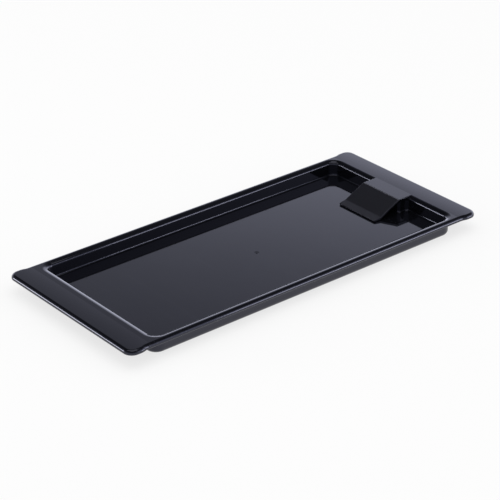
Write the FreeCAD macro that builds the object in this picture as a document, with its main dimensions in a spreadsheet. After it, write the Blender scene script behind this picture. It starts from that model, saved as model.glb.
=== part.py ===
import FreeCAD, Part
import math
import os
import Sketcher

# Guest check tray: a shallow moulded tray with two end handles and a sprung clip.
# +X runs along the length to the clip end, +Y across the tray, +Z up.
# The origin is under the middle of the rim outline, on the plane that the tray rests on.
# All sizes are in millimetres.

DOCUMENT_NAME = "check_tray"
OUTPUT_FOLDER = "parts"

SIZES = {
    # Rim, seen from above; the handles at both ends are a little wider than the sides
    "tray_length": 228.6,
    "tray_width": 101.6,
    "tray_height": 10.0,
    "rim_corner": 5.0,
    "rim_thickness": 2.5,
    "rim_top_round": 1.8,
    "rim_under_round": 0.5,
    "waist_step": 0.8,
    "waist_start": 5.0,
    "waist_round": 6.5,
    # Cavity for the bill and the money; the rim land is the level strip on top of the side rim
    "plain_handle": 18.4,
    "clip_handle": 16.0,
    "rim_land": 0.19,
    "floor_thickness": 2.0,
    "cavity_corner": 4.5,
    "floor_round": 0.9,
    # Soft run of the rim down into the cavity
    "mouth_run": 2.4,
    "mouth_drop": 0.87,
    "mouth_sweep": 3.5,
    "mouth_round": 1.4,
    # Tub under the rim, with a round lower edge that nests in the tray below
    "wall": 1.8,
    "tub_round": 2.6,
    # Post that carries the clip, hollow from below, and set in a little under the bridge's sides
    "post_depth": 6.3,
    "post_inset": 0.4,
    "post_round": 2.0,
    "post_root": 2.4,
    # Bridge over the post, level with the rim
    "bridge_thickness": 2.0,
    "bridge_round": 0.3,
    # Relief under the post, for the clip of a tray below
    "relief_depth": 1.3,
    "relief_margin": 0.6,
    "relief_reach": 2.6,
    # Clip
    "clip_width": 28.0,
    "clip_thickness": 1.2,
    "clip_reach": 17.4,
    "clip_gap": 0.25,
    "clip_corner": 0.8,
    "clip_edge": 0.25,
    "crease_rise": 1.87,
    "lip_length": 4.7,
    "lip_thickness": 0.8,
    "bend_round": 2.5,
    "hinge_forward": 0.3,
    "hinge_clearance": 0.15,
    # Mark of the moulding gate in the middle of the floor
    "gate_place": 4.5,
    "gate_ring": 2.4,
    "gate_ring_depth": 0.2,
    "gate_nub": 1.0,
    "gate_nub_height": 0.15,
    # Length by which a cut runs out of the material
    "overrun": 2.0,
}

LEFT_WALL = "(Sizes.plain_handle - Sizes.tray_length / 2)"
RIGHT_WALL = "(Sizes.tray_length / 2 - Sizes.clip_handle)"
MOUTH_ANGLE = "atan(Sizes.mouth_drop / Sizes.mouth_run)"
MOUTH_REACH = "(Sizes.mouth_run + Sizes.mouth_sweep * tan(" + MOUTH_ANGLE + " / 2))"
SIDE_RIM = "(Sizes.rim_top_round + Sizes.rim_land + " + MOUTH_REACH + ")"
SIDE_WALL = "(Sizes.tray_width / 2 - Sizes.waist_step - " + SIDE_RIM + ")"
FLOOR_TOP = "Sizes.floor_thickness"
RIM_UNDERSIDE = "(Sizes.tray_height - Sizes.rim_thickness)"
POST_FACE = "(Sizes.tray_length / 2 - Sizes.clip_handle - Sizes.post_depth)"
POST_SIDE = "(Sizes.clip_width / 2 - Sizes.post_inset)"
HINGE_X = "(Sizes.tray_length / 2 - Sizes.clip_handle - Sizes.post_depth - Sizes.hinge_forward)"
HINGE_Z = "(Sizes.tray_height - Sizes.clip_thickness / 2)"
LIP_TIP_X = "(" + HINGE_X + " - Sizes.clip_reach)"
LIP_UNDERSIDE = "(Sizes.floor_thickness + Sizes.clip_gap)"
CREASE_X = "(" + LIP_TIP_X + " + Sizes.lip_length)"
CREASE_Z = "(Sizes.floor_thickness + Sizes.crease_rise)"

# A sketch counts the points of a line or an arc from one; its own origin is the geometry before the first
START, END, CENTRE = range(1, 4)
ORIGIN = -1
TOLERANCE_SHARE = 0.0005
SURFACE_TOLERANCE = SIZES["overrun"] * TOLERANCE_SHARE


def make_sheet(document):
    """Put every size into the sheet under its own name."""
    sheet = document.addObject("Spreadsheet::Sheet", "Sizes")
    for row, (name, size) in enumerate(SIZES.items(), start=1):
        sheet.set("A%d" % row, name)
        sheet.set("B%d" % row, str(size))
        sheet.setAlias("B%d" % row, name)
    document.recompute()


def value(text):
    """Work out one expression of the sheet's sizes."""
    result = document.Sizes.evalExpression(text)
    return float(getattr(result, "Value", result))


def make_body(name):
    """Start one sub-part with a label of its own."""
    body = document.addObject("PartDesign::Body", name + "_body")
    body.Label = name
    return body


def make_sketch(body, name, plane, lift=None):
    """Attach a sketch to one of the body's origin planes, lifted along its normal."""
    sketch = body.newObject("Sketcher::SketchObject", name)
    support = [item for item in body.Origin.OriginFeatures if item.Role == plane][0]
    sketch.AttachmentSupport = [(support, "")]
    sketch.MapMode = "FlatFace"
    if lift is not None:
        sketch.setExpression("AttachmentOffset.Base.z", lift)
    return sketch


def bind(sketch, constraint, text):
    """Add one measured constraint and tie it to an expression."""
    index = sketch.addConstraint(constraint)
    sketch.setExpression("Constraints[%d]" % index, text)


def place_point(sketch, geometry, point, across, up):
    """Hold one point of the sketch at two coordinates."""
    bind(sketch, Sketcher.Constraint("DistanceX", ORIGIN, START, geometry, point, value(across)), across)
    bind(sketch, Sketcher.Constraint("DistanceY", ORIGIN, START, geometry, point, value(up)), up)


def add_line(sketch, start, end):
    """Add one straight line to a sketch."""
    return sketch.addGeometry(Part.LineSegment(start, end))


def add_arc(sketch, centre, start, end):
    """Add one arc to a sketch, turning to the left from its start to its end."""
    circle = Part.Circle(centre, FreeCAD.Vector(0, 0, 1), centre.distanceToPoint(start))
    arc = Part.ArcOfCircle(circle, circle.parameter(start), circle.parameter(end))
    return sketch.addGeometry(arc)


def draw_rounded_rectangle(sketch, low_x, high_x, half_y, radius, middle_y="0"):
    """Draw a rectangle with rounded corners, even about a line along the sketch's first axis."""
    left, right = value(low_x), value(high_x)
    corner = value(radius)
    low_y = "(" + middle_y + ") - (" + half_y + ")"
    high_y = "(" + middle_y + ") + (" + half_y + ")"
    front, back = value(low_y), value(high_y)
    vector = FreeCAD.Vector
    sides = [
        (vector(left + corner, front), vector(right - corner, front)),
        (vector(right, front + corner), vector(right, back - corner)),
        (vector(right - corner, back), vector(left + corner, back)),
        (vector(left, back - corner), vector(left, front + corner)),
    ]
    centres = [
        vector(right - corner, front + corner),
        vector(right - corner, back - corner),
        vector(left + corner, back - corner),
        vector(left + corner, front + corner),
    ]
    lines = [add_line(sketch, start, end) for start, end in sides]
    arcs = []
    for index, centre in enumerate(centres):
        following = sides[(index + 1) % len(sides)]
        arcs.append(add_arc(sketch, centre, sides[index][1], following[0]))
    for index, arc in enumerate(arcs):
        following = lines[(index + 1) % len(lines)]
        sketch.addConstraint(Sketcher.Constraint("Tangent", lines[index], END, arc, START))
        sketch.addConstraint(Sketcher.Constraint("Tangent", arc, END, following, START))
    for line in (lines[0], lines[2]):
        sketch.addConstraint(Sketcher.Constraint("Horizontal", line))
    for line in (lines[1], lines[3]):
        sketch.addConstraint(Sketcher.Constraint("Vertical", line))
    for arc in arcs[1:]:
        sketch.addConstraint(Sketcher.Constraint("Equal", arcs[0], arc))
    bind(sketch, Sketcher.Constraint("Radius", arcs[0], corner), radius)
    place_point(sketch, lines[1], START, high_x, low_y + " + (" + radius + ")")
    place_point(sketch, lines[3], START, low_x, high_y + " - (" + radius + ")")


def draw_rectangle(sketch, low_x, high_x, half_y):
    """Draw a plain rectangle, even about the X axis."""
    left, right, back = value(low_x), value(high_x), value(half_y)
    corners = [(left, -back), (right, -back), (right, back), (left, back)]
    points = [FreeCAD.Vector(x, y) for x, y in corners]
    lines = []
    for index, point in enumerate(points):
        lines.append(add_line(sketch, point, points[(index + 1) % len(points)]))
    for index, line in enumerate(lines):
        following = lines[(index + 1) % len(lines)]
        sketch.addConstraint(Sketcher.Constraint("Coincident", line, END, following, START))
    for line in (lines[0], lines[2]):
        sketch.addConstraint(Sketcher.Constraint("Horizontal", line))
    for line in (lines[1], lines[3]):
        sketch.addConstraint(Sketcher.Constraint("Vertical", line))
    place_point(sketch, lines[0], START, low_x, "-(" + half_y + ")")
    place_point(sketch, lines[2], START, high_x, half_y)


def draw_circle(sketch, across, up, radius):
    """Draw one circle."""
    centre = FreeCAD.Vector(value(across), value(up))
    circle = sketch.addGeometry(Part.Circle(centre, FreeCAD.Vector(0, 0, 1), value(radius)))
    bind(sketch, Sketcher.Constraint("Radius", circle, value(radius)), radius)
    place_point(sketch, circle, CENTRE, across, up)


def pad(body, name, sketch, length, midplane=False):
    """Raise a sketch into a solid and check that the body gained material."""
    before = body.Shape.Volume if body.Tip else 0
    feature = body.newObject("PartDesign::Pad", name)
    feature.Profile = sketch
    feature.Midplane = midplane
    feature.setExpression("Length", length)
    document.recompute()
    if feature.Shape.Volume <= before:
        raise RuntimeError(name + " adds no material")


def pocket(body, name, sketch, length, upward=False, midplane=False):
    """Cut a sketch out of the solid and check that the body lost material."""
    before = body.Shape.Volume
    feature = body.newObject("PartDesign::Pocket", name)
    feature.Profile = sketch
    feature.Midplane = midplane
    feature.Reversed = upward
    feature.setExpression("Length", length)
    document.recompute()
    if feature.Shape.Volume >= before:
        raise RuntimeError(name + " cuts nothing")


def round_edges(body, name, test, radius):
    """Round the edges of the body that pass the test."""
    base = body.Tip
    names = ["Edge%d" % number for number, edge in enumerate(base.Shape.Edges, start=1) if test(edge)]
    if not names:
        raise RuntimeError(name + " finds no edge")
    feature = body.newObject("PartDesign::Fillet", name)
    feature.Base = (base, names)
    feature.setExpression("Radius", radius)
    document.recompute()


def near(first, second):
    """Say whether two coordinates are the same."""
    return abs(first - second) < SURFACE_TOLERANCE


def lies_at_height(edge, height):
    """Say whether a whole edge lies at one height."""
    box = edge.BoundBox
    return near(box.ZMin, height) and near(box.ZMax, height)


def stands_upright(edge, bottom, top):
    """Say whether an edge runs straight up between two heights."""
    box = edge.BoundBox
    narrow = near(box.XLength, 0) and near(box.YLength, 0)
    return narrow and near(box.ZMin, bottom) and near(box.ZMax, top)


def add_rim(body):
    """Make the rim plate, drawn in a little along both sides, with its outer edge rounded."""
    sketch = make_sketch(body, "rim_outline", "XY_Plane", RIM_UNDERSIDE)
    half_length = "Sizes.tray_length / 2"
    half_width = "Sizes.tray_width / 2"
    draw_rounded_rectangle(sketch, "-" + half_length, half_length, half_width, "Sizes.rim_corner")
    pad(body, "rim_plate", sketch, "Sizes.rim_thickness")
    cut_waist(body, "near_waist", "-1")
    cut_waist(body, "far_waist", "1")
    outer_y = value(half_width)
    end_x = value(half_length + " - Sizes.rim_corner")
    top = value("Sizes.tray_height")
    underside = value(RIM_UNDERSIDE)

    def is_waist_end(edge):
        box = edge.BoundBox
        at_side = near(abs(box.YMin), outer_y) and abs(box.XMin) < end_x - SURFACE_TOLERANCE
        return stands_upright(edge, underside, top) and at_side

    round_edges(body, "waist_end_rounding", is_waist_end, "Sizes.waist_round")

    def is_top(edge):
        return lies_at_height(edge, top)

    def is_under(edge):
        return lies_at_height(edge, underside)

    round_edges(body, "rim_top_rounding", is_top, "Sizes.rim_top_round")
    round_edges(body, "rim_under_rounding", is_under, "Sizes.rim_under_round")


def cut_waist(body, name, side):
    """Draw one long side in by the step between the handles and the side."""
    sketch = make_sketch(body, name + "_outline", "XY_Plane", "Sizes.tray_height")
    high_x = "(Sizes.tray_length / 2 - Sizes.waist_start)"
    half_height = "(Sizes.waist_round + Sizes.waist_step)"
    middle_y = side + " * (Sizes.tray_width / 2 - Sizes.waist_step + " + half_height + ")"
    draw_rounded_rectangle(sketch, "-" + high_x, high_x, half_height, "Sizes.waist_round", middle_y)
    pocket(body, name, sketch, "Sizes.rim_thickness")


def add_tub(body):
    """Make the solid block that becomes the tub under the rim, with a round lower edge."""
    sketch = make_sketch(body, "tub_outline", "XY_Plane")
    low_x = LEFT_WALL + " - Sizes.wall"
    high_x = RIGHT_WALL + " + Sizes.wall"
    half_y = SIDE_WALL + " + Sizes.wall"
    draw_rounded_rectangle(sketch, low_x, high_x, half_y, "Sizes.cavity_corner + Sizes.wall")
    pad(body, "tub_block", sketch, RIM_UNDERSIDE + " + Sizes.rim_thickness / 2")
    round_edges(body, "tub_rounding", lambda edge: lies_at_height(edge, 0), "Sizes.tub_round")


def cut_cavity(body):
    """Cut the cavity that holds the bill."""
    sketch = make_sketch(body, "cavity_outline", "XY_Plane", "Sizes.tray_height")
    draw_rounded_rectangle(sketch, LEFT_WALL, RIGHT_WALL, SIDE_WALL, "Sizes.cavity_corner")
    pocket(body, "cavity", sketch, "Sizes.tray_height - Sizes.floor_thickness")


def cut_mouth(body):
    """Let the rim run softly down into the cavity, all the way round its mouth."""
    upper = make_sketch(body, "mouth_upper_outline", "XY_Plane", "Sizes.tray_height")
    low_x = LEFT_WALL + " - Sizes.mouth_run"
    high_x = RIGHT_WALL + " + Sizes.mouth_run"
    half_y = SIDE_WALL + " + Sizes.mouth_run"
    draw_rounded_rectangle(upper, low_x, high_x, half_y, "Sizes.cavity_corner + Sizes.mouth_run")
    lower = make_sketch(body, "mouth_lower_outline", "XY_Plane", "Sizes.tray_height - Sizes.mouth_drop")
    draw_rounded_rectangle(lower, LEFT_WALL, RIGHT_WALL, SIDE_WALL, "Sizes.cavity_corner")
    before = body.Shape.Volume
    feature = body.newObject("PartDesign::SubtractiveLoft", "mouth")
    feature.Profile = upper
    feature.Sections = [lower]
    feature.Ruled = True
    document.recompute()
    if feature.Shape.Volume >= before:
        raise RuntimeError("mouth cuts nothing")


def round_mouth(body):
    """Round the upper and the lower edge of the mouth's slope."""
    top = value("Sizes.tray_height")
    lower = value("Sizes.tray_height - Sizes.mouth_drop")
    half_width = value(SIDE_WALL + " + Sizes.mouth_run")

    def is_upper(edge):
        reach = max(abs(edge.BoundBox.YMin), abs(edge.BoundBox.YMax))
        return lies_at_height(edge, top) and reach < half_width + SURFACE_TOLERANCE

    def is_lower(edge):
        return lies_at_height(edge, lower)

    round_edges(body, "mouth_upper_rounding", is_upper, "Sizes.mouth_sweep")
    round_edges(body, "mouth_lower_rounding", is_lower, "Sizes.mouth_round")


def add_post(body):
    """Raise the post from the floor to the bridge."""
    outline = make_sketch(body, "post_outline", "XY_Plane", FLOOR_TOP)
    draw_post_outline(outline)
    pad(body, "post", outline, "Sizes.tray_height - Sizes.floor_thickness - Sizes.bridge_thickness")


def draw_post_outline(sketch):
    """Draw the post from above: rounded at its front, and hollowed out where it meets the wall."""
    vector = FreeCAD.Vector
    face, wall_x = value(POST_FACE), value(RIGHT_WALL)
    inside = value(RIGHT_WALL + " + Sizes.wall / 2")
    half = value(POST_SIDE)
    corner, root = SIZES["post_round"], SIZES["post_root"]
    root_x, front_x = wall_x - root, face + corner
    outer, inner = half + root, half - corner
    near_root = add_arc(sketch, vector(root_x, -outer), vector(wall_x, -outer), vector(root_x, -half))
    near_side = add_line(sketch, vector(root_x, -half), vector(front_x, -half))
    near_front = add_arc(sketch, vector(front_x, -inner), vector(face, -inner), vector(front_x, -half))
    front = add_line(sketch, vector(face, -inner), vector(face, inner))
    far_front = add_arc(sketch, vector(front_x, inner), vector(front_x, half), vector(face, inner))
    far_side = add_line(sketch, vector(front_x, half), vector(root_x, half))
    far_root = add_arc(sketch, vector(root_x, outer), vector(root_x, half), vector(wall_x, outer))
    far_end = add_line(sketch, vector(wall_x, outer), vector(inside, outer))
    back = add_line(sketch, vector(inside, outer), vector(inside, -outer))
    near_end = add_line(sketch, vector(inside, -outer), vector(wall_x, -outer))
    joints = [
        ("Tangent", near_root, END, near_side, START),
        ("Tangent", near_side, END, near_front, END),
        ("Tangent", near_front, START, front, START),
        ("Tangent", front, END, far_front, END),
        ("Tangent", far_front, START, far_side, START),
        ("Tangent", far_side, END, far_root, START),
        ("Coincident", far_root, END, far_end, START),
        ("Coincident", far_end, END, back, START),
        ("Coincident", back, END, near_end, START),
        ("Coincident", near_end, END, near_root, START),
    ]
    for joint in joints:
        sketch.addConstraint(Sketcher.Constraint(*joint))
    for line in (near_side, far_side, far_end, near_end):
        sketch.addConstraint(Sketcher.Constraint("Horizontal", line))
    for line in (front, back):
        sketch.addConstraint(Sketcher.Constraint("Vertical", line))
    bind(sketch, Sketcher.Constraint("Radius", near_front, corner), "Sizes.post_round")
    bind(sketch, Sketcher.Constraint("Radius", far_front, corner), "Sizes.post_round")
    bind(sketch, Sketcher.Constraint("Radius", near_root, root), "Sizes.post_root")
    bind(sketch, Sketcher.Constraint("Radius", far_root, root), "Sizes.post_root")
    root_x = RIGHT_WALL + " - Sizes.post_root"
    root_y = POST_SIDE + " + Sizes.post_root"
    place_point(sketch, near_root, CENTRE, root_x, "-(" + root_y + ")")
    place_point(sketch, far_root, CENTRE, root_x, root_y)
    place_point(sketch, back, START, RIGHT_WALL + " + Sizes.wall / 2", root_y)
    bind(sketch, Sketcher.Constraint("DistanceX", ORIGIN, START, front, START, face), POST_FACE)


def add_bridge(body):
    """Lay the bridge over the post, round along both sides, out to where the handle is level again."""
    section = make_sketch(body, "bridge_section", "YZ_Plane", POST_FACE)
    side = "(Sizes.clip_width / 2)"
    half = "Sizes.bridge_thickness / 2"
    middle_z = "Sizes.tray_height - " + half
    draw_rounded_rectangle(section, "-" + side, side, half, "Sizes.bridge_round", middle_z)
    pad(body, "bridge", section, RIGHT_WALL + " + " + MOUTH_REACH + " - " + POST_FACE)


def cut_post_hollow(body):
    """Hollow the post from below and from the end, so that its walls are even."""
    sketch = make_sketch(body, "hollow_outline", "XY_Plane")
    low_x = POST_FACE + " + Sizes.wall"
    high_x = RIGHT_WALL + " + Sizes.wall + Sizes.overrun"
    draw_rectangle(sketch, low_x, high_x, POST_SIDE + " - Sizes.wall")
    pocket(body, "post_hollow", sketch, RIM_UNDERSIDE, upward=True)


def cut_stack_relief(body):
    """Cut the underside away where the clip and the bridge of a tray below come up."""
    sketch = make_sketch(body, "relief_outline", "XY_Plane")
    low_x = HINGE_X + " - Sizes.relief_reach"
    high_x = RIGHT_WALL + " + Sizes.wall + Sizes.overrun"
    draw_rectangle(sketch, low_x, high_x, "Sizes.clip_width / 2 + Sizes.relief_margin")
    pocket(body, "stack_relief", sketch, "Sizes.relief_depth", upward=True)


def cut_hinge_seat(body):
    """Cut the round seat along the bridge's free edge where the clip's root turns."""
    sketch = make_sketch(body, "seat_outline", "XZ_Plane")
    draw_circle(sketch, HINGE_X, HINGE_Z, "Sizes.clip_thickness / 2 + Sizes.hinge_clearance")
    pocket(body, "hinge_seat", sketch, "Sizes.clip_width + 2 * Sizes.overrun", midplane=True)


def round_floor(body):
    """Round the foot of the cavity's walls and of the post."""
    floor_top = value(FLOOR_TOP)

    def is_foot(edge):
        return lies_at_height(edge, floor_top)

    round_edges(body, "floor_rounding", is_foot, "Sizes.floor_round")


def mark_gate(body):
    """Mark where the mould was fed: a shallow ring with a small nub in it."""
    ring = make_sketch(body, "gate_ring_outline", "XY_Plane", FLOOR_TOP)
    draw_circle(ring, "Sizes.gate_place", "0 mm", "Sizes.gate_ring / 2")
    pocket(body, "gate_ring", ring, "Sizes.gate_ring_depth")
    nub = make_sketch(body, "gate_nub_outline", "XY_Plane", FLOOR_TOP + " - Sizes.gate_ring_depth")
    draw_circle(nub, "Sizes.gate_place", "0 mm", "Sizes.gate_nub / 2")
    pad(body, "gate_nub", nub, "Sizes.gate_ring_depth + Sizes.gate_nub_height")


def make_tray():
    """Make the moulded tray: rim, tub, cavity, post and bridge."""
    body = make_body("tray")
    add_rim(body)
    add_tub(body)
    cut_mouth(body)
    cut_cavity(body)
    round_mouth(body)
    add_post(body)
    round_floor(body)
    add_bridge(body)
    cut_post_hollow(body)
    cut_stack_relief(body)
    cut_hinge_seat(body)
    mark_gate(body)
    return body


def draw_clip_section(sketch):
    """Draw the clip from the side: round root, sloping tongue and a thinner lip."""
    half = value("Sizes.clip_thickness / 2")
    root = FreeCAD.Vector(value(HINGE_X), value(HINGE_Z))
    crease = FreeCAD.Vector(value(CREASE_X), value(CREASE_Z))
    under_z = value(LIP_UNDERSIDE)
    tip_top = FreeCAD.Vector(value(LIP_TIP_X), under_z + SIZES["lip_thickness"])
    tip_under = FreeCAD.Vector(tip_top.x, under_z)
    rise = math.atan2(root.y - crease.y, root.x - crease.x)
    slope = rise + math.asin(half / root.distanceToPoint(crease))
    across = FreeCAD.Vector(-math.sin(slope), math.cos(slope)) * half
    root_top = root + across
    root_under = root - across
    bend_under = FreeCAD.Vector(root_under.x - (root_under.y - under_z) / math.tan(slope), under_z)
    barrel = add_arc(sketch, root, root_under, root_top)
    points = [root_top, crease, tip_top, tip_under, bend_under, root_under]
    lines = [add_line(sketch, start, end) for start, end in zip(points, points[1:])]
    tongue_top, lip_top, lip_end, lip_under, tongue_under = lines
    sketch.addConstraint(Sketcher.Constraint("Tangent", barrel, END, tongue_top, START))
    for first, second in zip(lines, lines[1:]):
        sketch.addConstraint(Sketcher.Constraint("Coincident", first, END, second, START))
    sketch.addConstraint(Sketcher.Constraint("Tangent", tongue_under, END, barrel, START))
    sketch.addConstraint(Sketcher.Constraint("Parallel", tongue_top, tongue_under))
    sketch.addConstraint(Sketcher.Constraint("Vertical", lip_end))
    sketch.addConstraint(Sketcher.Constraint("Horizontal", lip_under))
    bind(sketch, Sketcher.Constraint("Radius", barrel, half), "Sizes.clip_thickness / 2")
    place_point(sketch, barrel, CENTRE, HINGE_X, HINGE_Z)
    place_point(sketch, tongue_top, END, CREASE_X, CREASE_Z)
    place_point(sketch, lip_end, END, LIP_TIP_X, LIP_UNDERSIDE)
    front = Sketcher.Constraint("DistanceY", lip_end, END, lip_end, START, SIZES["lip_thickness"])
    bind(sketch, front, "Sizes.lip_thickness")


def make_clip():
    """Make the clip, a springy tongue that slopes down to a lip just above the floor."""
    body = make_body("clip")
    sketch = make_sketch(body, "clip_section", "XZ_Plane")
    draw_clip_section(sketch)
    pad(body, "clip_blank", sketch, "Sizes.clip_width", midplane=True)
    round_clip(body)
    return body


def round_clip(body):
    """Round the lip's corners, both bends and the lip's front edges."""
    tip_x = value(LIP_TIP_X)
    crease_x = value(CREASE_X)
    under_z = value(LIP_UNDERSIDE)

    def is_corner(edge):
        box = edge.BoundBox
        return near(box.XMin, tip_x) and near(box.XMax, tip_x) and near(box.YLength, 0)

    def is_bend(edge):
        box = edge.BoundBox
        crosswise = near(box.XLength, 0) and near(box.ZLength, 0)
        upper = near(box.XMin, crease_x)
        lower = near(box.ZMin, under_z) and box.XMin > tip_x + SIZES["clip_thickness"]
        return crosswise and (upper or lower)

    def is_front(edge):
        box = edge.BoundBox
        return near(box.XMin, tip_x) and near(box.ZLength, 0)

    round_edges(body, "lip_corner_rounding", is_corner, "Sizes.clip_corner")
    round_edges(body, "bend_rounding", is_bend, "Sizes.bend_round")
    round_edges(body, "lip_front_rounding", is_front, "Sizes.clip_edge")


def check(document):
    """Stop if any object of the document has failed."""
    for item in document.Objects:
        if "Invalid" in item.State or "Error" in item.State:
            raise RuntimeError(item.Name + " is in state " + str(item.State))


def export(body):
    """Write one sub-part to its own file."""
    shape = body.Shape
    if shape.isNull() or not shape.isValid() or len(shape.Solids) != 1:
        raise RuntimeError(body.Label + " is not one valid solid")
    shape.exportStep(os.path.join(OUTPUT_FOLDER, body.Label + ".step"))
    print(body.Label, "volume", round(shape.Volume, 1), "box", shape.BoundBox)


document = FreeCAD.newDocument(DOCUMENT_NAME)
make_sheet(document)
sub_parts = [make_tray(), make_clip()]
document.recompute()
check(document)
os.makedirs(OUTPUT_FOLDER, exist_ok=True)
for sub_part in sub_parts:
    export(sub_part)
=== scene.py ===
import bpy
import math
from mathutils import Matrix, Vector


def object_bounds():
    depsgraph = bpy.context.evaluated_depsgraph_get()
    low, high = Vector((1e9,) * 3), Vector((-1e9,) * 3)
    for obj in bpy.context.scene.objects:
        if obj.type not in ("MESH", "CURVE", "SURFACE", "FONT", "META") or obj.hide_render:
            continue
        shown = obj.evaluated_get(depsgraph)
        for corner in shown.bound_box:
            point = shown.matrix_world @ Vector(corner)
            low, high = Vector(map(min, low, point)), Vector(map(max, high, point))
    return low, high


# Guest check tray: one moulded tray of polished black plastic with a satin clip, on a white ground.
# Lengths are in metres, in the tray's own frame: +X to the clip end, +Y across, +Z up.

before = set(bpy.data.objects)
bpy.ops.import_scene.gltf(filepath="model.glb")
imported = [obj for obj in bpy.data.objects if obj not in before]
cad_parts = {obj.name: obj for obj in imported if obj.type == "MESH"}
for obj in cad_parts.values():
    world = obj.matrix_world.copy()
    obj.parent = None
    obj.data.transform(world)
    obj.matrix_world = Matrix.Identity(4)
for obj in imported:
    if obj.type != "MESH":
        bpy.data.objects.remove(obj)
cad_low, cad_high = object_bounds()

# Camera
VIEW_AZIMUTH = 39.8
VIEW_ELEVATION = 27.7
VIEW_DISTANCE = 0.983
LENS_MM = 138.0
SENSOR_MM = 36.0
NEAR_CLIP = 0.00983
FAR_CLIP = 40.0

# Ground: a white sheet that keeps the tray's soft shadow
GROUND_REACH = 4.0
GROUND_DROP = 0.00005
GROUND_WHITE = 0.92
GROUND_GLOW_SHARE = 0.72

# Studio: angles in degrees, levels as shares of plain white
SKY_RISES = (0.0, 21.0, 24.0, 26.0, 28.0, 29.5, 32.0, 36.0, 48.0)
SKY_LEVELS = (1.30, 1.30, 1.25, 0.95, 0.63, 0.50, 0.36, 0.20, 0.05)
SKY_BRIGHT_SIDE = 95.0
SKY_TURN_EDGES = (0.20, 0.95)
SKY_TURN_LEVELS = (0.45, 1.45)
HORIZON_GLOW = 1.3
HORIZON_GLOW_SIDE = 15.0
HORIZON_GLOW_EDGES = (0.80, 0.97)
HORIZON_GLOW_TOP = 18.0
HORIZON_GLOW_FULL = 8.0
SKY_COLOUR = (0.84, 0.86, 1.0, 1.0)
WHITE = (1.0, 1.0, 1.0, 1.0)
BACKDROP_LEVEL = 1.0
AMBIENT_LEVEL = 0.80
SOFTBOX_DISTANCE = 1.1
SOFTBOX_WIDTH = 0.45
SOFTBOX_HEIGHT = 0.20
SOFTBOX_RISE = 6.0
RIGHT_SOFTBOX_AZIMUTH = 139.0
RIGHT_SOFTBOX_WATTS = 1.6
LEFT_SOFTBOX_AZIMUTH = 313.0
LEFT_SOFTBOX_WATTS = 3.0
STRAIGHT_UP = 90.0
TOP_LIGHT_HEIGHT = 1.3
TOP_LIGHT_WIDTH = 1.3
TOP_LIGHT_WATTS = 4.0

# Plastic: colours, and the roughness of each moulding
TRAY_BLACK = (0.0030, 0.0032, 0.0045, 1.0)
CLIP_BLACK = (0.0060, 0.0062, 0.0080, 1.0)
HAZE_GREY = (0.028, 0.029, 0.032, 1.0)
SHEEN_BLUE = (0.77, 0.785, 1.0, 1.0)
PLASTIC_IOR = 1.62
TRAY_ROUGHNESS = 0.045
CLIP_ROUGHNESS = 0.32
TRAY_HAIRLINE_SHARE = 1.0
CLIP_HAIRLINE_SHARE = 0.2

# Haze: broad soft patches that are a little rougher
HAZE_SCALE = 28.0
HAZE_DETAIL = 4.0
HAZE_EDGES = (0.42, 0.72)
HAZE_ROUGHNESS = 0.035

# Hairlines: two sets of thin straight marks, each with its turn in degrees and its spacing
HAIRLINES = ((12.0, 0.0011), (71.0, 0.0016))
HAIRLINE_STRETCH_SHARE = 0.02
HAIRLINE_DETAIL = 3.0
HAIRLINE_EDGES = (0.63, 0.70)
HAIRLINE_ROUGHNESS = 0.05
HAIRLINE_DEPTH_SHARE = 0.02

# Scuffs: worn spots on the rounded edges, between the level faces and the walls
SCUFF_LEVEL_FACING = (0.86, 0.70)
SCUFF_WALL_FACING = (0.15, 0.45)
SCUFF_SCALE = 900.0
SCUFF_DETAIL = 5.0
SCUFF_EDGES = (0.52, 0.70)
SCUFF_COLOUR_SHARE = 0.5
SCUFF_ROUGHNESS = 0.18

# Surface: the handles' slight crown, and the faint wave of a moulded face
CROWN_START = 0.1015
CROWN_RIDGE = 0.1085
CROWN_DIAMETER = 0.90
WAVE_SCALE = 45.0
WAVE_DETAIL = 1.0
WAVE_STRENGTH = 0.03
WAVE_DEPTH = 0.0002


def direction(azimuth, elevation):
    """Unit vector of an azimuth, from +Y towards +X, and an elevation, both in degrees."""
    turn, rise = math.radians(azimuth), math.radians(elevation)
    return Vector((math.sin(turn) * math.cos(rise), math.cos(turn) * math.cos(rise), math.sin(rise)))


def look_at(obj, target):
    """Turn a camera or lamp so that its -Z axis points at a target."""
    obj.rotation_mode = "QUATERNION"
    obj.rotation_quaternion = (target - obj.location).to_track_quat("-Z", "Y")


def add_camera():
    """Stand the camera above the near left corner, looking at the tray's middle."""
    data = bpy.data.cameras.new("camera")
    data.lens = LENS_MM
    data.sensor_width = SENSOR_MM
    data.clip_start = NEAR_CLIP
    data.clip_end = FAR_CLIP
    camera = bpy.data.objects.new("camera", data)
    bpy.context.scene.collection.objects.link(camera)
    target = (cad_low + cad_high) / 2
    camera.location = target - direction(VIEW_AZIMUTH, -VIEW_ELEVATION) * VIEW_DISTANCE
    look_at(camera, target)
    bpy.context.scene.camera = camera


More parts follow.
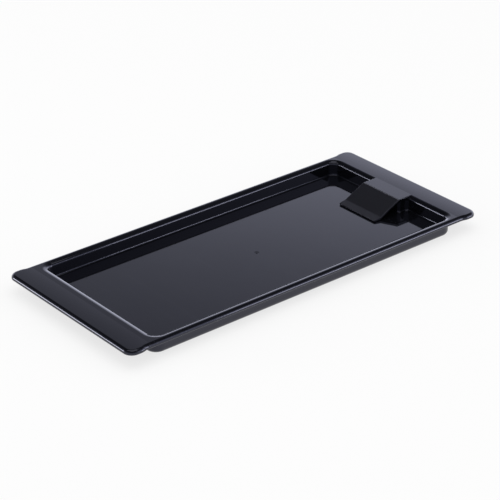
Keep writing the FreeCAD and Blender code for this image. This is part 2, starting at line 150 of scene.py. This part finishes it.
class Nodes:
    """Short calls that build one node tree."""

    def __init__(self, tree):
        self.tree = tree
        tree.nodes.clear()

    def add(self, kind, **inputs):
        """Add one node and give its inputs by name, as numbers or as links."""
        node = self.tree.nodes.new(kind)
        for name, source in inputs.items():
            self.feed(node, name.replace("_", " "), source)
        return node

    def feed(self, node, name, source):
        """Give one input, by its name or its place, a number, a colour or another node's output."""
        socket = node.inputs[int(name)] if name.isdigit() else node.inputs[name]
        if isinstance(source, bpy.types.NodeSocket):
            self.tree.links.new(source, socket)
        else:
            socket.default_value = source

    def math(self, operation, first, second=0.0):
        """One arithmetic step on one or two numbers."""
        node = self.tree.nodes.new("ShaderNodeMath")
        node.operation = operation
        self.feed(node, "0", first)
        self.feed(node, "1", second)
        return node.outputs[0]

    def ramp(self, source, low, high, low_value=0.0, high_value=1.0):
        """Carry a number smoothly from one range to another."""
        node = self.tree.nodes.new("ShaderNodeMapRange")
        node.interpolation_type = "SMOOTHSTEP"
        for index, number in enumerate((source, low, high, low_value, high_value)):
            self.feed(node, str(index), number)
        return node.outputs[0]

    def profile(self, source, places, levels):
        """Carry a number along straight runs from each place and level to the next."""
        result = levels[0]
        for index in range(1, len(places)):
            node = self.tree.nodes.new("ShaderNodeMapRange")
            step = levels[index] - levels[index - 1]
            for socket, number in enumerate((source, places[index - 1], places[index], 0.0, step)):
                self.feed(node, str(socket), number)
            result = self.math("ADD", result, node.outputs[0])
        return result

    def split(self, vector):
        """The three coordinates of a vector."""
        node = self.tree.nodes.new("ShaderNodeSeparateXYZ")
        self.feed(node, "Vector", vector)
        return node.outputs

    def mix_colour(self, share, first, second):
        """Mix two colours. The node keeps its colours on sockets 6 and 7, and the result on output 2."""
        node = self.tree.nodes.new("ShaderNodeMix")
        node.data_type = "RGBA"
        self.feed(node, "0", share)
        self.feed(node, "6", first)
        self.feed(node, "7", second)
        return node.outputs[2]

    def noise(self, vector, scale, detail):
        """Smooth noise, from zero to one."""
        node = self.add("ShaderNodeTexNoise", Vector=vector, Scale=scale, Detail=detail)
        return node.outputs["Fac"]

    def stretch(self, vector, scale, turn):
        """Turn a vector about Z and scale its axes."""
        node = self.tree.nodes.new("ShaderNodeMapping")
        self.feed(node, "Vector", vector)
        node.inputs["Rotation"].default_value = (0.0, 0.0, math.radians(turn))
        node.inputs["Scale"].default_value = scale
        return node.outputs[0]


def ray_is_seen(nodes):
    """One for rays that show the ground or backdrop: camera, mirror and glass rays."""
    path = nodes.add("ShaderNodeLightPath")
    seen = nodes.math("MAXIMUM", path.outputs["Is Camera Ray"], path.outputs["Is Glossy Ray"])
    return nodes.math("MAXIMUM", seen, path.outputs["Is Transmission Ray"])


def add_ground():
    """Lay the white ground just under the tray."""
    mesh = bpy.data.meshes.new("ground")
    corners = [(-1, -1), (1, -1), (1, 1), (-1, 1)]
    height = cad_low.z - GROUND_DROP
    mesh.from_pydata([(x * GROUND_REACH, y * GROUND_REACH, height) for x, y in corners], [], [(0, 1, 2, 3)])
    ground = bpy.data.objects.new("ground", mesh)
    bpy.context.scene.collection.objects.link(ground)
    material = bpy.data.materials.new("ground_white")
    material.use_nodes = True
    nodes = Nodes(material.node_tree)
    paper = nodes.add("ShaderNodeBsdfDiffuse", Color=(GROUND_WHITE, GROUND_WHITE, GROUND_WHITE, 1.0))
    glow = nodes.add("ShaderNodeEmission", Color=WHITE, Strength=BACKDROP_LEVEL)
    share = nodes.math("MULTIPLY", ray_is_seen(nodes), GROUND_GLOW_SHARE)
    mixed = nodes.add("ShaderNodeMixShader", Fac=share)
    nodes.feed(mixed, "1", paper.outputs[0])
    nodes.feed(mixed, "2", glow.outputs[0])
    nodes.add("ShaderNodeOutputMaterial", Surface=mixed.outputs[0])
    mesh.materials.append(material)


def add_world():
    """Fill the world: white for the camera, and for reflections a bright band under a dark ceiling."""
    world = bpy.data.worlds.new("studio")
    bpy.context.scene.world = world
    world.use_nodes = True
    nodes = Nodes(world.node_tree)
    place = nodes.add("ShaderNodeTexCoord")
    across, along, up = nodes.split(place.outputs["Generated"])
    rise = nodes.math("ARCSINE", up)
    turn = nodes.math("ARCTAN2", across, along)
    band = nodes.profile(rise, [math.radians(angle) for angle in SKY_RISES], SKY_LEVELS)
    toward_bright = nodes.math("COSINE", nodes.math("SUBTRACT", turn, math.radians(SKY_BRIGHT_SIDE)))
    sky = nodes.math("MULTIPLY", band, nodes.ramp(toward_bright, *SKY_TURN_EDGES, *SKY_TURN_LEVELS))
    toward_glow = nodes.math("COSINE", nodes.math("SUBTRACT", turn, math.radians(HORIZON_GLOW_SIDE)))
    near_horizon = nodes.ramp(rise, math.radians(HORIZON_GLOW_TOP), math.radians(HORIZON_GLOW_FULL))
    glow_side = nodes.ramp(toward_glow, *HORIZON_GLOW_EDGES, 0.0, HORIZON_GLOW)
    glow = nodes.math("MULTIPLY", near_horizon, glow_side)
    mirrored = nodes.math("ADD", sky, glow)
    path = nodes.add("ShaderNodeLightPath")
    glossy = path.outputs["Is Glossy Ray"]
    camera = path.outputs["Is Camera Ray"]
    plain = nodes.ramp(camera, 0.0, 1.0, AMBIENT_LEVEL, BACKDROP_LEVEL)
    level = nodes.math("ADD", nodes.math("MULTIPLY", mirrored, glossy),
                       nodes.math("MULTIPLY", plain, nodes.math("SUBTRACT", 1.0, glossy)))
    background = nodes.add("ShaderNodeBackground", Strength=level)
    nodes.feed(background, "Color", nodes.mix_colour(glossy, WHITE, SKY_COLOUR))
    nodes.add("ShaderNodeOutputWorld", Surface=background.outputs[0])


def add_softbox(name, azimuth, elevation, distance, width, height, watts):
    """Hang one soft rectangular lamp that faces the tray."""
    data = bpy.data.lights.new(name, "AREA")
    data.shape = "RECTANGLE"
    data.size = width
    data.size_y = height
    data.energy = watts
    lamp = bpy.data.objects.new(name, data)
    bpy.context.scene.collection.objects.link(lamp)
    lamp.location = direction(azimuth, elevation) * distance
    look_at(lamp, Vector((0.0, 0.0, 0.0)))


def add_lamps():
    """Hang two low soft boxes, one to each side of the camera, and a wide top light."""
    sides = (("right_softbox", RIGHT_SOFTBOX_AZIMUTH, RIGHT_SOFTBOX_WATTS),
             ("left_softbox", LEFT_SOFTBOX_AZIMUTH, LEFT_SOFTBOX_WATTS))
    for name, azimuth, watts in sides:
        add_softbox(name, azimuth, SOFTBOX_RISE, SOFTBOX_DISTANCE, SOFTBOX_WIDTH, SOFTBOX_HEIGHT, watts)
    add_softbox("top_light", 0.0, STRAIGHT_UP, TOP_LIGHT_HEIGHT, TOP_LIGHT_WIDTH, TOP_LIGHT_WIDTH,
                TOP_LIGHT_WATTS)


def scratch_lines(nodes, vector, turn, spacing):
    """Thin straight hairlines in one direction, from zero to one."""
    stretched = nodes.stretch(vector, (1.0 / spacing, HAIRLINE_STRETCH_SHARE / spacing, 1.0 / spacing), turn)
    line = nodes.noise(stretched, 1.0, HAIRLINE_DETAIL)
    return nodes.ramp(line, *HAIRLINE_EDGES)


def handle_crown(nodes, spot):
    """Height of the slight crown across both handles, level between them, in metres."""
    reach = nodes.math("MAXIMUM", nodes.math("ABSOLUTE", nodes.split(spot)[0]), CROWN_START)
    out = nodes.math("SUBTRACT", reach, CROWN_RIDGE)
    return nodes.math("DIVIDE", nodes.math("MULTIPLY", out, out), -CROWN_DIAMETER)


def edge_scuffs(nodes, spot, facing):
    """Worn spots along the rounded edges, from zero to one."""
    off_level = nodes.ramp(facing, *SCUFF_LEVEL_FACING)
    off_wall = nodes.ramp(facing, *SCUFF_WALL_FACING)
    edge = nodes.math("MULTIPLY", off_level, off_wall)
    spots = nodes.ramp(nodes.noise(spot, SCUFF_SCALE, SCUFF_DETAIL), *SCUFF_EDGES)
    return nodes.math("MULTIPLY", edge, spots)


def plastic(name, black, base_roughness, hairline_share):
    """Moulded black plastic with haze, hairlines and worn edges."""
    material = bpy.data.materials.new(name)
    material.use_nodes = True
    nodes = Nodes(material.node_tree)
    place = nodes.add("ShaderNodeTexCoord")
    spot = place.outputs["Object"]
    facing = nodes.split(place.outputs["Normal"])[2]
    haze = nodes.ramp(nodes.noise(spot, HAZE_SCALE, HAZE_DETAIL), *HAZE_EDGES)
    first_set, second_set = (scratch_lines(nodes, spot, turn, spacing) for turn, spacing in HAIRLINES)
    hairlines = nodes.math("MULTIPLY", nodes.math("MAXIMUM", first_set, second_set), hairline_share)
    scuff = edge_scuffs(nodes, spot, facing)
    colour = nodes.mix_colour(nodes.math("MULTIPLY", scuff, SCUFF_COLOUR_SHARE), black, HAZE_GREY)
    roughness = base_roughness
    for mark, added in ((haze, HAZE_ROUGHNESS), (hairlines, HAIRLINE_ROUGHNESS), (scuff, SCUFF_ROUGHNESS)):
        roughness = nodes.math("ADD", roughness, nodes.math("MULTIPLY", mark, added))
    wave = nodes.noise(spot, WAVE_SCALE, WAVE_DETAIL)
    height = nodes.math("SUBTRACT", wave, nodes.math("MULTIPLY", hairlines, HAIRLINE_DEPTH_SHARE))
    crown = nodes.add("ShaderNodeBump", Strength=1.0, Distance=1.0, Height=handle_crown(nodes, spot))
    bump = nodes.add("ShaderNodeBump", Strength=WAVE_STRENGTH, Distance=WAVE_DEPTH, Height=height,
                     Normal=crown.outputs[0])
    shader = nodes.add("ShaderNodeBsdfPrincipled", Roughness=roughness, Normal=bump.outputs[0],
                       IOR=PLASTIC_IOR)
    nodes.feed(shader, "Base Color", colour)
    nodes.feed(shader, "Specular Tint", SHEEN_BLUE)
    nodes.add("ShaderNodeOutputMaterial", Surface=shader.outputs[0])
    return material


def dress(node, material):
    """Give a CAD node its finished material."""
    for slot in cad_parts[node].material_slots:
        slot.material = material


add_camera()
add_ground()
add_world()
add_lamps()
dress("tray", plastic("tray_polished_black", TRAY_BLACK, TRAY_ROUGHNESS, TRAY_HAIRLINE_SHARE))
dress("clip", plastic("clip_satin_black", CLIP_BLACK, CLIP_ROUGHNESS, CLIP_HAIRLINE_SHARE))

bpy.context.scene.view_settings.view_transform = "Standard"
